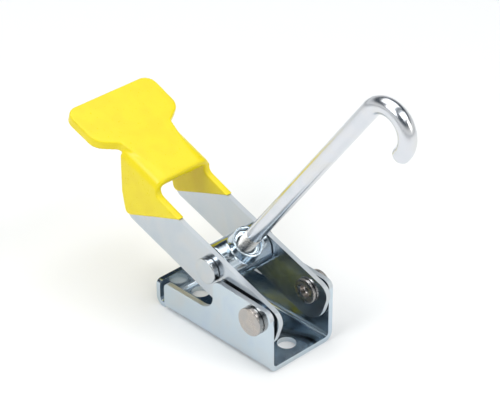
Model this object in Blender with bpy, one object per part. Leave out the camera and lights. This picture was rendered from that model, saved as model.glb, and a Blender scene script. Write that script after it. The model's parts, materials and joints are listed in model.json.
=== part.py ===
"""Pull-action latch clamp with a J-hook.

A folded steel base is screwed down.  A stamped handle turns on two rivets in its walls.
Between the handle's legs sits a trunnion, and the threaded J-hook runs through it, so
pushing the handle down pulls the hook back over centre.

Units are metres.  +X points to the hook side, +Z up, and the origin is on the mounting
face, midway between the two screw holes.
"""

import math

import bmesh
import bpy
from mathutils import Matrix, Vector

# Base: sheet, length and the stepped side walls
BASE_SHEET = 0.0025
BASE_WIDTH = 0.0400
BASE_FRONT = 0.0385
BASE_REAR = -0.0395
BASE_INNER_BEND = 0.0020
WALL_HEIGHT = 0.0320
WALL_STEP_HEIGHT = 0.0334
WALL_STEP_X = 0.0012
WALL_LOW_HEIGHT = 0.0155
WALL_REAR = -0.0325
WALL_FRONT_CORNER = 0.0040
WALL_REAR_CORNER = 0.0030
WALL_STEP_CORNER = 0.0045
WALL_STEP_FOOT = 0.0080
FLANGE_TOP = 0.0132
FLANGE_WIDTH = 0.0370
FLANGE_CORNER = 0.0025
RELIEF_GAP = 0.0015

# Screw holes in the floor
SCREW_HOLE_RADIUS = 0.0045
SCREW_HOLE_X = 0.0290

# Handle pivot: one rivet in each wall
PIVOT_X = 0.0278
PIVOT_Z = 0.0245
RIVET_RADIUS = 0.0045
RIVET_HEAD_RADIUS = 0.0069
RIVET_HEAD_THICKNESS = 0.0026
RIVET_TAIL_RADIUS = 0.0062
RIVET_TAIL_THICKNESS = 0.0014
RIVET_DIMPLE_RADIUS = 0.0026
RIVET_DIMPLE_DEPTH = 0.0007
RIVET_EDGE = 0.0006

# Handle: legs, top plate and T-shaped end, in its own frame
HANDLE_REST_ANGLE = math.radians(18.2)
HANDLE_SHEET = 0.0025
LEG_TO_WALL = 0.0011
LEG_BELOW_PIVOT = 0.0141
LEG_ABOVE_PIVOT = 0.0094
LEG_NOSE = 0.0118
LEG_NOSE_TOP_RADIUS = 0.0060
LEG_NOSE_BOTTOM_RADIUS = 0.0110
LEG_RISE_START = 0.0540
LEG_RISE_TOP = 0.0104
LEG_HEEL = 0.0877
LEG_HEEL_RADIUS = 0.0050
LEG_WAIST = 0.0948
LEG_WAIST_DROP = 0.0035
LEG_REAR_TOP = 0.1020
PLATE_FRONT = 0.0763
PLATE_TOP = 0.0177
PLATE_SLOPE = math.tan(math.radians(2.0))
HANDLE_OUTER_BEND = 0.0055
NECK_END = 0.1045
NECK_INSET = 0.0017
SHOULDER = 0.1108
SHOULDER_HALF_WIDTH = 0.0250
PLATE_REAR = 0.1324
REAR_HALF_WIDTH = 0.0254
SHOULDER_RADIUS = 0.0063
REAR_RADIUS = 0.0047
NOTCH_RADIUS = 0.0030
BEVEL_STEPS = 4
RIM_STEPS = 2

# Dipped vinyl: its thickness, and the line down to which the handle was dipped
COATING_THICKNESS = 0.0008
COATING_EDGE = 0.0014
DIP_TOP = 0.0600
DIP_BOTTOM = 0.0892

# Trunnion and the pins that carry it in the legs
TRUNNION_BACK = 0.0337
TRUNNION_RADIUS = 0.0100
BOSS_RADIUS = 0.0079
BOSS_REACH = 0.0144
BOSS_RECESS_RADIUS = 0.0066
BOSS_RECESS_DEPTH = 0.0028
NUT_SEAT = 0.0085
PIN_RADIUS = 0.0040
PIN_HEAD_RADIUS = 0.0063
PIN_HEAD_THICKNESS = 0.0032
PIN_WALL = 0.0022

# J-hook and its lock nut
HOOK_REST_ANGLE = math.radians(53.5)
ROD_RADIUS = 0.0040
ROD_STRAIGHT = 0.1355
HOOK_BEND_RADIUS = 0.0112
HOOK_BEND_SWEEP = math.radians(180.0)
HOOK_TAIL = 0.0012
HOOK_TIP_ROUND = 0.0016
ROD_BEYOND_NUT = 0.0015
THREAD_CHAMFER = 0.0008
NUT_ACROSS_FLATS = 0.0130
NUT_HEX_HEIGHT = 0.0060
NUT_COLLAR_HEIGHT = 0.0020
NUT_COLLAR_RADIUS = 0.0061
NUT_CHAMFER = 0.0008
INSERT_WALL = 0.0008

# Clearances between pieces that touch, turn or slide
GAP = 0.0003
RUNNING = 0.0003

ROUND_SIDES = 48
ROD_SIDES = 24
ARC_STEP = math.radians(12.0)
OVERSHOOT = 0.0050
WELD = 0.000005
SMOOTH_ANGLE = math.radians(35.0)

# Values that follow from the ones above
HALF_WIDTH = BASE_WIDTH / 2
WALL_INNER = HALF_WIDTH - BASE_SHEET
LEG_OUTER = WALL_INNER - LEG_TO_WALL
LEG_INNER = LEG_OUTER - HANDLE_SHEET
NECK_HALF_WIDTH = LEG_OUTER - NECK_INSET
PLATE_UNDER = PLATE_TOP - HANDLE_SHEET
COATING_REACH = GAP + COATING_THICKNESS
NUT_START = NUT_SEAT + GAP
NUT_END = NUT_START + NUT_HEX_HEIGHT + NUT_COLLAR_HEIGHT
ROD_LOWER_END = NUT_END + ROD_BEYOND_NUT


def material(name, colour, metallic, roughness):
    """A Principled material with the part's colour."""
    made = bpy.data.materials.new(name)
    made.use_nodes = True
    shader = made.node_tree.nodes["Principled BSDF"]
    shader.inputs["Base Color"].default_value = (*colour, 1.0)
    shader.inputs["Metallic"].default_value = metallic
    shader.inputs["Roughness"].default_value = roughness
    made.diffuse_color = (*colour, 1.0)
    return made


def place(name, bm, look=None, parent=None):
    """Turn a bmesh into a named object under a parent empty."""
    bmesh.ops.recalc_face_normals(bm, faces=bm.faces)
    mesh = bpy.data.meshes.new(name)
    bm.to_mesh(mesh)
    bm.free()
    thing = bpy.data.objects.new(name, mesh)
    bpy.context.collection.objects.link(thing)
    if look:
        mesh.materials.append(look)
    thing.parent = parent
    return thing


def combine(target, tool, operation):
    """Join, cut or intersect two solids exactly, keep the first and remove the second."""
    step = target.modifiers.new("solid", "BOOLEAN")
    step.operation = operation
    step.object = tool
    step.solver = "EXACT"
    bpy.context.view_layer.update()
    result = bpy.data.meshes.new_from_object(
        target.evaluated_get(bpy.context.evaluated_depsgraph_get()))
    target.modifiers.remove(step)
    old = target.data
    name = old.name
    target.data = result
    bpy.data.meshes.remove(old)
    result.name = name
    bpy.data.objects.remove(tool)


def finish(thing):
    """Weld what the cuts left double, close what they left open and shade round surfaces smooth."""
    bm = bmesh.new()
    bm.from_mesh(thing.data)
    bmesh.ops.remove_doubles(bm, verts=bm.verts, dist=WELD)
    bmesh.ops.dissolve_degenerate(bm, dist=WELD, edges=bm.edges)
    bmesh.ops.holes_fill(bm, edges=[edge for edge in bm.edges if edge.is_boundary], sides=0)
    bm.to_mesh(thing.data)
    bm.free()
    thing.data.shade_smooth()
    thing.data.set_sharp_from_angle(angle=SMOOTH_ANGLE)
    return thing


def pivot_empty(name, location, turn, parent=None):
    """An empty on a joint's axis; turn is its rotation about Y."""
    empty = bpy.data.objects.new(name, None)
    bpy.context.collection.objects.link(empty)
    empty.location = location
    empty.rotation_euler = (0.0, turn, 0.0)
    empty.parent = parent
    return empty


def rounded(corners):
    """Outline points from (a, b, radius) corners, with an arc at each corner that has one."""
    points = []
    count = len(corners)
    for index, (a, b, radius) in enumerate(corners):
        here = Vector((a, b))
        before = Vector(corners[index - 1][:2]) - here
        after = Vector(corners[(index + 1) % count][:2]) - here
        if radius <= 0.0:
            points.append(here)
            continue
        half = before.angle(after) / 2
        reach = radius / math.tan(half)
        start = before.normalized() * reach
        end = after.normalized() * reach
        centre = (before.normalized() + after.normalized()).normalized() * (radius / math.sin(half))
        sweep = math.pi - 2 * half
        steps = max(2, round(sweep / ARC_STEP))
        turn = sweep if (start - centre).cross(end - centre) > 0 else -sweep
        for step in range(steps + 1):
            spoke = Matrix.Rotation(turn * step / steps, 2) @ (start - centre)
            points.append(here + centre + spoke)
    return points


def grown(corners, by):
    """Corners of an anticlockwise outline moved outwards; round corners keep their centres."""
    outer = []
    count = len(corners)
    for index, (a, b, radius) in enumerate(corners):
        here = Vector((a, b))
        along = (here - Vector(corners[index - 1][:2])).normalized()
        onward = (Vector(corners[(index + 1) % count][:2]) - here).normalized()
        out_before = Vector((along.y, -along.x))
        out_after = Vector((onward.y, -onward.x))
        corner = here + (out_before + out_after) * (by / (1 + out_before.dot(out_after)))
        outside = along.cross(onward) > 0
        new_radius = 0.0 if radius <= 0.0 else max(0.0, radius + by if outside else radius - by)
        outer.append((corner.x, corner.y, new_radius))
    return outer


def prism(points, axis, low, high):
    """A solid from an outline, extruded along axis from low to high.

    The outline is read as (y, z) for X, as (x, z) for Y and as (x, y) for Z.
    """
    bm = bmesh.new()
    spots = {"X": lambda a, b: (low, a, b), "Y": lambda a, b: (a, low, b), "Z": lambda a, b: (a, b, low)}
    face = bm.faces.new([bm.verts.new(spots[axis](*point)) for point in points])
    pulled = bmesh.ops.extrude_face_region(bm, geom=[face])["geom"]
    shift = {"X": (high - low, 0, 0), "Y": (0, high - low, 0), "Z": (0, 0, high - low)}[axis]
    far_end = [part for part in pulled if isinstance(part, bmesh.types.BMVert)]
    bmesh.ops.translate(bm, vec=shift, verts=far_end)
    return bm


def turned(profile, axis, sides=ROUND_SIDES):
    """A solid of revolution; profile is (distance along axis, radius) from end to end."""
    bm = bmesh.new()
    last = len(profile) - 1
    rings = []
    for index, (along, radius) in enumerate(profile):
        if radius <= 0.0 and index in (0, last):
            rings.append([bm.verts.new((along, 0, 0))])
            continue
        spokes = [2 * math.pi * side / sides for side in range(sides)]
        rings.append([bm.verts.new((along, radius * math.cos(s), radius * math.sin(s))) for s in spokes])
    for near, far in zip(rings, rings[1:]):
        for side in range(sides):
            onward = (side + 1) % sides
            corners = [near[side % len(near)], near[onward % len(near)]]
            corners += [far[onward % len(far)], far[side % len(far)]]
            bm.faces.new(list(dict.fromkeys(corners)))
    for ring in (rings[0], rings[-1]):
        if len(ring) > 1:
            bm.faces.new(ring)
    quarter = math.pi / 2
    turns = {"X": Matrix(), "Y": Matrix.Rotation(quarter, 4, "Z"), "Z": Matrix.Rotation(-quarter, 4, "Y")}
    bmesh.ops.transform(bm, matrix=turns[axis], verts=bm.verts)
    return bm


def shifted(bm, x=0.0, y=0.0, z=0.0):
    """The same bmesh, moved along the axes."""
    bmesh.ops.translate(bm, vec=(x, y, z), verts=bm.verts)
    return bm


def cylinder(axis, radius, low, high, sides=ROUND_SIDES):
    """A plain round solid along axis."""
    return turned([(low, radius), (high, radius)], axis, sides)


def base_channel(look):
    """The folded base: a U with stepped walls, and a flange bent up at its rear."""
    tall = max(WALL_HEIGHT, WALL_STEP_HEIGHT) + OVERSHOOT
    outer_bend = BASE_INNER_BEND + BASE_SHEET
    section = rounded([
        (-HALF_WIDTH, tall, 0), (-HALF_WIDTH, 0, outer_bend), (HALF_WIDTH, 0, outer_bend),
        (HALF_WIDTH, tall, 0), (WALL_INNER, tall, 0), (WALL_INNER, BASE_SHEET, BASE_INNER_BEND),
        (-WALL_INNER, BASE_SHEET, BASE_INNER_BEND), (-WALL_INNER, tall, 0)])
    base = place("base_channel", prism(section, "X", WALL_REAR, BASE_FRONT), look)
    below = -OVERSHOOT
    past_front = BASE_FRONT + OVERSHOOT
    past_rear = WALL_REAR - OVERSHOOT
    cut_away = rounded([
        (past_front, tall + OVERSHOOT, 0), (past_front, below, 0), (BASE_FRONT, below, 0),
        (BASE_FRONT, WALL_HEIGHT, WALL_FRONT_CORNER), (WALL_STEP_X, WALL_STEP_HEIGHT, WALL_STEP_CORNER),
        (WALL_STEP_X, WALL_LOW_HEIGHT, WALL_STEP_FOOT), (WALL_REAR, WALL_LOW_HEIGHT, WALL_REAR_CORNER),
        (WALL_REAR, below, 0), (past_rear, below, 0), (past_rear, tall + OVERSHOOT, 0)])
    wide = HALF_WIDTH + OVERSHOOT
    combine(base, place("above_walls", prism(cut_away, "Y", -wide, wide)), "DIFFERENCE")

    flange_x = WALL_REAR - RELIEF_GAP
    flange_half = FLANGE_WIDTH / 2
    angle = rounded([
        (flange_x, 0, 0), (flange_x, BASE_SHEET, 0), (BASE_REAR + BASE_SHEET, BASE_SHEET, BASE_INNER_BEND),
        (BASE_REAR + BASE_SHEET, FLANGE_TOP, 0), (BASE_REAR, FLANGE_TOP, 0), (BASE_REAR, 0, outer_bend)])
    flange = prism(angle, "Y", -flange_half, flange_half)
    top_ends = [edge for edge in flange.edges
                if all(abs(vert.co.z - FLANGE_TOP) < GAP / 2 for vert in edge.verts)
                and abs(edge.verts[0].co.y - edge.verts[1].co.y) < GAP / 2]
    bmesh.ops.bevel(flange, geom=top_ends, offset=FLANGE_CORNER, segments=BEVEL_STEPS, profile=0.5,
                    affect="EDGES", material=-1)
    flange = place("flange", flange)
    floor_half = HALF_WIDTH - outer_bend
    bridge = [(flange_x - GAP, -floor_half), (WALL_REAR + OVERSHOOT, -floor_half),
              (WALL_REAR + OVERSHOOT, floor_half), (flange_x - GAP, floor_half)]
    combine(flange, place("bridge", prism(bridge, "Z", 0, BASE_SHEET)), "UNION")
    combine(base, flange, "UNION")

    for x in (SCREW_HOLE_X, -SCREW_HOLE_X):
        hole = cylinder("Z", SCREW_HOLE_RADIUS, -OVERSHOOT, BASE_SHEET + OVERSHOOT)
        combine(base, place("screw_hole", shifted(hole, x=x)), "DIFFERENCE")
    rivet_hole = shifted(cylinder("Y", RIVET_RADIUS + RUNNING, -wide, wide), x=PIVOT_X, z=PIVOT_Z)
    combine(base, place("rivet_hole", rivet_hole), "DIFFERENCE")
    return finish(base)


def raised_to_plate(bm):
    """The same bmesh, sheared so that the handle's plate rises slightly towards its rear."""
    shear = Matrix()
    shear[2][0] = -PLATE_SLOPE
    shear[2][3] = -PLATE_SLOPE * PLATE_FRONT
    bmesh.ops.transform(bm, matrix=shear, verts=bm.verts)
    return bm


def handle_section(grow):
    """The handle's U section as (y, z), open downwards, with every face moved out by grow."""
    outer = LEG_OUTER + grow
    inner = LEG_INNER - grow
    under = PLATE_UNDER - grow
    foot = -LEG_BELOW_PIVOT - PLATE_SLOPE * PLATE_REAR - OVERSHOOT
    inner_bend = max(0.0, HANDLE_OUTER_BEND - HANDLE_SHEET - grow)
    outer_bend = HANDLE_OUTER_BEND + grow
    return rounded([
        (-outer, foot, 0), (-inner, foot, 0), (-inner, under, inner_bend), (inner, under, inner_bend),
        (inner, foot, 0), (outer, foot, 0), (outer, PLATE_TOP + grow, outer_bend),
        (-outer, PLATE_TOP + grow, outer_bend)])


def leg_side(grow):
    """The legs' side view as (x, z), up to the plate's top, moved out by grow."""
    rear_top = PLATE_TOP + PLATE_SLOPE * (LEG_REAR_TOP - PLATE_FRONT)
    return rounded(grown([
        (LEG_NOSE, LEG_ABOVE_PIVOT, LEG_NOSE_TOP_RADIUS),
        (-LEG_RISE_START, LEG_ABOVE_PIVOT, LEG_NOSE_BOTTOM_RADIUS),
        (-PLATE_FRONT, LEG_RISE_TOP, NOTCH_RADIUS), (-PLATE_FRONT, PLATE_TOP, 0),
        (-LEG_REAR_TOP, rear_top, 0), (-LEG_WAIST, -LEG_WAIST_DROP, LEG_HEEL_RADIUS),
        (-LEG_HEEL, -LEG_BELOW_PIVOT, LEG_HEEL_RADIUS),
        (LEG_NOSE, -LEG_BELOW_PIVOT, LEG_NOSE_BOTTOM_RADIUS)], grow))


def plate_plan(grow):
    """The plate's top view as (x, y): a strip inside the U, the neck and the T, moved out by grow."""
    strip_half = LEG_OUTER - HANDLE_OUTER_BEND
    strip_front = (-PLATE_FRONT - NOTCH_RADIUS, strip_half, 0)
    strip_rear = (-LEG_REAR_TOP + NOTCH_RADIUS, strip_half, 0)
    half = [
        strip_front, strip_rear, (-NECK_END, NECK_HALF_WIDTH, NOTCH_RADIUS),
        (-SHOULDER, SHOULDER_HALF_WIDTH, SHOULDER_RADIUS), (-PLATE_REAR, REAR_HALF_WIDTH, REAR_RADIUS)]
    whole = half + [(x, -y, radius) for x, y, radius in reversed(half)]
    plan = grown(whole, grow)
    plan[:2] = whole[:2]
    plan[-2:] = whole[-2:]
    return rounded(plan)


def handle_solid(name, grow, look=None, parent=None, rim_edge=0.0):
    """The stamped handle, with every face moved out by grow and the T's rim rounded by rim_edge.

    The handle's frame has its pivot at the origin and its legs along -X.
    """
    section = prism(handle_section(grow), "X", -LEG_REAR_TOP - OVERSHOOT, LEG_NOSE + OVERSHOOT)
    handle = place(name, raised_to_plate(section), look, parent)
    wide = LEG_OUTER + grow + OVERSHOOT
    combine(handle, place("side", prism(leg_side(grow), "Y", -wide, wide), None, parent), "INTERSECT")
    plate = prism(plate_plan(grow), "Z", PLATE_UNDER - grow, PLATE_TOP + grow)
    if rim_edge:
        rim = [edge for edge in plate.edges
               if abs(edge.verts[0].co.z - edge.verts[1].co.z) < GAP / 2
               and max(vert.co.x for vert in edge.verts) < -LEG_REAR_TOP]
        bmesh.ops.bevel(plate, geom=rim, offset=rim_edge, segments=RIM_STEPS, profile=0.5,
                        affect="EDGES", material=-1)
    combine(handle, place("plate", raised_to_plate(plate), None, parent), "UNION")
    return handle


def handle_frame(look, parent):
    """The steel handle with its rivet and pin holes."""
    handle = handle_solid("handle_frame", 0.0, look, parent)
    wide = LEG_OUTER + OVERSHOOT
    rivet_hole = cylinder("Y", RIVET_RADIUS + RUNNING, -wide, wide)
    combine(handle, place("rivet_hole", rivet_hole, None, parent), "DIFFERENCE")
    pin_hole = shifted(cylinder("Y", PIN_RADIUS + RUNNING, -wide, wide), x=-TRUNNION_BACK)
    combine(handle, place("pin_hole", pin_hole, None, parent), "DIFFERENCE")
    return finish(handle)


def grip_coating(look, parent):
    """The vinyl skin round the plate and the rear of the legs, down to the dip line."""
    coating = handle_solid("grip_coating", COATING_REACH, look, parent, COATING_EDGE)
    dip_low = Vector((-DIP_BOTTOM, -LEG_BELOW_PIVOT))
    dip_high = Vector((-DIP_TOP, LEG_ABOVE_PIVOT))
    onward = (dip_high - dip_low).normalized() * (LEG_BELOW_PIVOT + LEG_ABOVE_PIVOT)
    rear = -PLATE_REAR - LEG_NOSE
    low = dip_low - onward
    high = dip_high + onward
    dipped = [tuple(low), tuple(high), (rear, high.y), (rear, low.y)]
    wide = SHOULDER_HALF_WIDTH + OVERSHOOT
    combine(coating, place("dipped", prism(dipped, "Y", -wide, wide), None, parent), "INTERSECT")
    combine(coating, handle_solid("steel", GAP, None, parent), "DIFFERENCE")
    return finish(coating)


def pivot_rivet(side, sign, look):
    """One handle rivet: its head outside the wall and its formed tail inside the leg."""
    wall_face = HALF_WIDTH + GAP
    leg_face = LEG_INNER - GAP
    tail = leg_face - RIVET_TAIL_THICKNESS
    profile = [
        (tail + RIVET_DIMPLE_DEPTH, 0.0), (tail + RIVET_DIMPLE_DEPTH, RIVET_DIMPLE_RADIUS / 2),
        (tail, RIVET_DIMPLE_RADIUS), (tail, RIVET_TAIL_RADIUS - RIVET_EDGE),
        (tail + RIVET_EDGE, RIVET_TAIL_RADIUS), (leg_face, RIVET_TAIL_RADIUS), (leg_face, RIVET_RADIUS),
        (wall_face, RIVET_RADIUS), (wall_face, RIVET_HEAD_RADIUS),
        (wall_face + RIVET_HEAD_THICKNESS - RIVET_EDGE, RIVET_HEAD_RADIUS),
        (wall_face + RIVET_HEAD_THICKNESS, RIVET_HEAD_RADIUS - RIVET_EDGE)]
    profile = [(sign * along, radius) for along, radius in profile]
    rivet = shifted(turned(profile, "Y"), x=PIVOT_X, z=PIVOT_Z)
    return finish(place("pivot_rivet_" + side, rivet, look))


def pivot_washer(side, sign, look):
    """The thin washer between a base wall and a handle leg."""
    near = sign * (LEG_OUTER + GAP)
    far = sign * (WALL_INNER - GAP)
    washer = place("pivot_washer_" + side, cylinder("Y", RIVET_HEAD_RADIUS, near, far), look)
    hole = cylinder("Y", RIVET_RADIUS + RUNNING, near - sign * OVERSHOOT, far + sign * OVERSHOOT)
    combine(washer, place("washer_hole", hole), "DIFFERENCE")
    washer.location = (PIVOT_X, 0.0, PIVOT_Z)
    return finish(washer)


def trunnion(look, parent):
    """The cross barrel with a boss along the hook rod, a through bore and two pin holes."""
    half_length = LEG_INNER - GAP
    body = place("trunnion", cylinder("Y", TRUNNION_RADIUS, -half_length, half_length), look, parent)
    combine(body, place("boss", cylinder("X", BOSS_RADIUS, 0.0, BOSS_REACH), None, parent), "UNION")
    bore_radius = ROD_RADIUS + RUNNING
    recess_floor = BOSS_REACH - BOSS_RECESS_DEPTH
    bore = [(-TRUNNION_RADIUS - OVERSHOOT, bore_radius), (recess_floor, bore_radius),
            (recess_floor, BOSS_RECESS_RADIUS), (BOSS_REACH + OVERSHOOT, BOSS_RECESS_RADIUS)]
    combine(body, place("bore", turned(bore, "X"), None, parent), "DIFFERENCE")
    wide = TRUNNION_RADIUS + OVERSHOOT
    seat = prism([(-wide, -wide), (wide, -wide), (wide, wide), (-wide, wide)], "X", -wide, -NUT_SEAT)
    combine(body, place("nut_seat", seat, None, parent), "DIFFERENCE")
    socket_floor = ROD_RADIUS + PIN_WALL
    for sign in (-1, 1):
        socket = cylinder("Y", PIN_RADIUS + GAP, sign * socket_floor, sign * (half_length + OVERSHOOT))
        combine(body, place("pin_socket", socket, None, parent), "DIFFERENCE")
    return finish(body)


def trunnion_pin(side, sign, look, parent):
    """A headed pin through one leg into the trunnion's end."""
    leg_face = LEG_OUTER + GAP
    inner_end = ROD_RADIUS + PIN_WALL + GAP
    profile = [
        (inner_end, PIN_RADIUS - RIVET_EDGE), (inner_end + RIVET_EDGE, PIN_RADIUS),
        (leg_face, PIN_RADIUS), (leg_face, PIN_HEAD_RADIUS),
        (leg_face + PIN_HEAD_THICKNESS - RIVET_EDGE, PIN_HEAD_RADIUS),
        (leg_face + PIN_HEAD_THICKNESS, PIN_HEAD_RADIUS - RIVET_EDGE)]
    profile = [(sign * along, radius) for along, radius in profile]
    return finish(place("trunnion_pin_" + side, turned(profile, "Y"), look, parent))


def j_hook(look, parent):
    """The bent rod: threaded lower end, straight shank, half-round bend and blunt tip."""
    bm = bmesh.new()
    face_x = Matrix.Rotation(math.pi / 2, 4, "Y")
    lower = Matrix.Translation((-ROD_LOWER_END, 0, 0)) @ face_x
    end_radius = ROD_RADIUS - THREAD_CHAMFER
    bmesh.ops.create_circle(bm, cap_ends=True, segments=ROD_SIDES, radius=end_radius, matrix=lower)
    ring = list(bm.edges)

    def extend(shift, scale=1.0):
        """Extrude the open ring, move it and scale it about its middle."""
        grown_ring = bmesh.ops.extrude_edge_only(bm, edges=ring)["geom"]
        verts = [part for part in grown_ring if isinstance(part, bmesh.types.BMVert)]
        middle = sum((vert.co for vert in verts), Vector()) / len(verts)
        for vert in verts:
            vert.co = middle + (vert.co - middle) * scale + shift
        ring[:] = [part for part in grown_ring if isinstance(part, bmesh.types.BMEdge)]

    extend(Vector((THREAD_CHAMFER, 0, 0)), ROD_RADIUS / end_radius)
    extend(Vector((ROD_LOWER_END - THREAD_CHAMFER + ROD_STRAIGHT, 0, 0)))
    bend = bmesh.ops.spin(
        bm, geom=ring, cent=(ROD_STRAIGHT, 0, -HOOK_BEND_RADIUS), axis=(0, 1, 0), dvec=(0, 0, 0),
        angle=HOOK_BEND_SWEEP, steps=round(HOOK_BEND_SWEEP / ARC_STEP), use_duplicate=False)
    ring = [part for part in bend["geom_last"] if isinstance(part, bmesh.types.BMEdge)]
    back = Vector((math.cos(HOOK_BEND_SWEEP), 0, -math.sin(HOOK_BEND_SWEEP)))
    extend(back * HOOK_TAIL)
    tip_radius = ROD_RADIUS - HOOK_TIP_ROUND
    for start, end in ((0.0, 45.0), (45.0, 90.0)):
        lift = HOOK_TIP_ROUND * (math.sin(math.radians(end)) - math.sin(math.radians(start)))
        wide = tip_radius + HOOK_TIP_ROUND * math.cos(math.radians(end))
        narrow = tip_radius + HOOK_TIP_ROUND * math.cos(math.radians(start))
        extend(back * lift, wide / narrow)
    bmesh.ops.contextual_create(bm, geom=ring)
    return finish(place("j_hook", bm, look, parent))


def nut_insert(look, parent):
    """The nylon ring held in the nut's collar."""
    start = -NUT_START - NUT_HEX_HEIGHT - GAP
    end = -NUT_END + GAP
    inner = ROD_RADIUS + RUNNING
    ring = place("nut_insert", cylinder("X", inner + INSERT_WALL, end, start), look, parent)
    bore = cylinder("X", inner, end - OVERSHOOT, start + OVERSHOOT)
    combine(ring, place("insert_bore", bore, None, parent), "DIFFERENCE")
    return finish(ring)


def lock_nut(look, parent):
    """The hexagon nut with its round collar, under the trunnion."""
    corner = NUT_ACROSS_FLATS / math.sqrt(3)
    spokes = [math.radians(60 * side + 30) for side in range(6)]
    hexagon = [(corner * math.cos(spoke), corner * math.sin(spoke)) for spoke in spokes]
    hex_end = -NUT_START - NUT_HEX_HEIGHT
    nut = place("lock_nut", prism(hexagon, "X", hex_end, -NUT_START), look, parent)
    face = NUT_ACROSS_FLATS / 2
    chamfer = turned([
        (hex_end, face), (hex_end + NUT_CHAMFER / 2, corner), (-NUT_START - NUT_CHAMFER / 2, corner),
        (-NUT_START, face)], "X")
    combine(nut, place("chamfer", chamfer, None, parent), "INTERSECT")
    collar = turned([
        (-NUT_END, NUT_COLLAR_RADIUS - NUT_CHAMFER), (-NUT_END + NUT_CHAMFER, NUT_COLLAR_RADIUS),
        (hex_end + GAP, NUT_COLLAR_RADIUS)], "X")
    combine(nut, place("collar", collar, None, parent), "UNION")
    bore_radius = ROD_RADIUS + RUNNING
    seat_radius = bore_radius + INSERT_WALL + GAP
    bore = turned([
        (-NUT_END - OVERSHOOT, seat_radius), (hex_end, seat_radius), (hex_end, bore_radius),
        (OVERSHOOT, bore_radius)], "X")
    combine(nut, place("nut_bore", bore, None, parent), "DIFFERENCE")
    return finish(nut)


def main():
    for thing in list(bpy.data.objects):
        bpy.data.objects.remove(thing)

    zinc = material("zinc_plated_steel", (0.62, 0.66, 0.69), 1.0, 0.28)
    rivet_steel = material("rivet_steel", (0.55, 0.52, 0.49), 1.0, 0.38)
    vinyl = material("yellow_vinyl", (0.95, 0.76, 0.03), 0.0, 0.35)
    nylon = material("nylon", (0.80, 0.80, 0.76), 0.0, 0.5)

    handle_axis = pivot_empty("handle_axis", (PIVOT_X, 0, PIVOT_Z), HANDLE_REST_ANGLE)
    hook_turn = -HOOK_REST_ANGLE - HANDLE_REST_ANGLE
    hook_axis = pivot_empty("hook_axis", (-TRUNNION_BACK, 0, 0), hook_turn, handle_axis)

    base_channel(zinc)
    for side, sign in (("left", 1), ("right", -1)):
        pivot_rivet(side, sign, rivet_steel)
        pivot_washer(side, sign, zinc)
        trunnion_pin(side, sign, zinc, hook_axis)
    handle_frame(zinc, handle_axis)
    grip_coating(vinyl, handle_axis)
    trunnion(zinc, hook_axis)
    j_hook(zinc, hook_axis)
    lock_nut(zinc, hook_axis)
    nut_insert(nylon, hook_axis)


main()
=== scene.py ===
"""Pull-action latch clamp with a J-hook, dressed for display.

Bright zinc-plated pressings, a dipped yellow vinyl grip and a bent, threaded hook rod are
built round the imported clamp, each riding on the body that carries it.
"""

import json
import logging
import math
from dataclasses import dataclass
from enum import Enum

import bmesh
import bpy
from mathutils import Matrix, Vector


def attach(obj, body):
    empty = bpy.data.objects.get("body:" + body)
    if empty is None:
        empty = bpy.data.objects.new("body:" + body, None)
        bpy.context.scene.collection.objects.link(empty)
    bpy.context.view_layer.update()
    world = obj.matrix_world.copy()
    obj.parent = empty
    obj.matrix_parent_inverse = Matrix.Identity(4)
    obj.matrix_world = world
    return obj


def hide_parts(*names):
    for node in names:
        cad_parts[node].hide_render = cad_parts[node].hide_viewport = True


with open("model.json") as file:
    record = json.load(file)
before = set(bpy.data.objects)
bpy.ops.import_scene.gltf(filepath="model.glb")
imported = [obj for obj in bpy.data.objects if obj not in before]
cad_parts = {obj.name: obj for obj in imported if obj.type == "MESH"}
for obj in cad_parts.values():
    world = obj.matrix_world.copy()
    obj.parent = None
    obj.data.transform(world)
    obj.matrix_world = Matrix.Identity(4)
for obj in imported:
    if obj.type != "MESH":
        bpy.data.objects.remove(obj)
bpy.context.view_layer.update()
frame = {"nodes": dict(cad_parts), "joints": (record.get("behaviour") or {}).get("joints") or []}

MM = 0.001
WELD = 0.002 * MM        # vertices nearer than this are one
FLAT_DEG = 0.6           # faces that meet at less than this are one flat face
SQUARE_DEG = 60.0        # edges at more than this are the corners of a sawn block
CORNER_STRIPS = 8        # strips in an outline's rounded corner
TURNED_STRIPS = 4        # strips in a turned profile's rounded corner
TURNED_SIDES = 96        # steps round a turned piece
LOG = logging.getLogger("latch_clamp")

Colour = tuple[float, float, float, float]    # linear red, green, blue and alpha
Point = tuple[float, float, float]
Spot = tuple[float, float]                    # a point in a flat drawing
Corner = tuple[float, float, float]           # the same, with its corner's radius
Mesh = bmesh.types.BMesh
Edges = list[bmesh.types.BMEdge]
Material = bpy.types.Material


class Grain(Enum):
    """How the steel was worked, which sets the shape of its surface marks."""

    ROLLED = "rolled"
    DRAWN = "drawn"
    TURNED = "turned"
    SHEARED = "sheared"


# Length, width and height in mm of one mark.  Real marks are 0.02-0.1 mm wide; they are drawn
# half a millimetre or more wide, so that they show at arm's length.
GRAIN_MARKS: dict[Grain, tuple[float, float, float]] = {
    Grain.ROLLED: (22.0, 0.9, 0.0012),
    Grain.DRAWN: (30.0, 0.5, 0.0020),
    Grain.TURNED: (3.0, 0.6, 0.0030),
    Grain.SHEARED: (0.7, 0.5, 0.0200),
}


def linear(hex_colour: str) -> Colour:
    """Turn an sRGB hex colour into linear RGBA by the standard sRGB curve.

    Args:
        hex_colour: A colour such as "#C0CCD0".

    Returns:
        The linear colour with full alpha.
    """
    channels = [int(hex_colour[start:start + 2], 16) / 255 for start in (1, 3, 5)]
    red, green, blue = [c / 12.92 if c <= 0.04045 else ((c + 0.055) / 1.055) ** 2.4 for c in channels]
    return red, green, blue, 1.0


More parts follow.
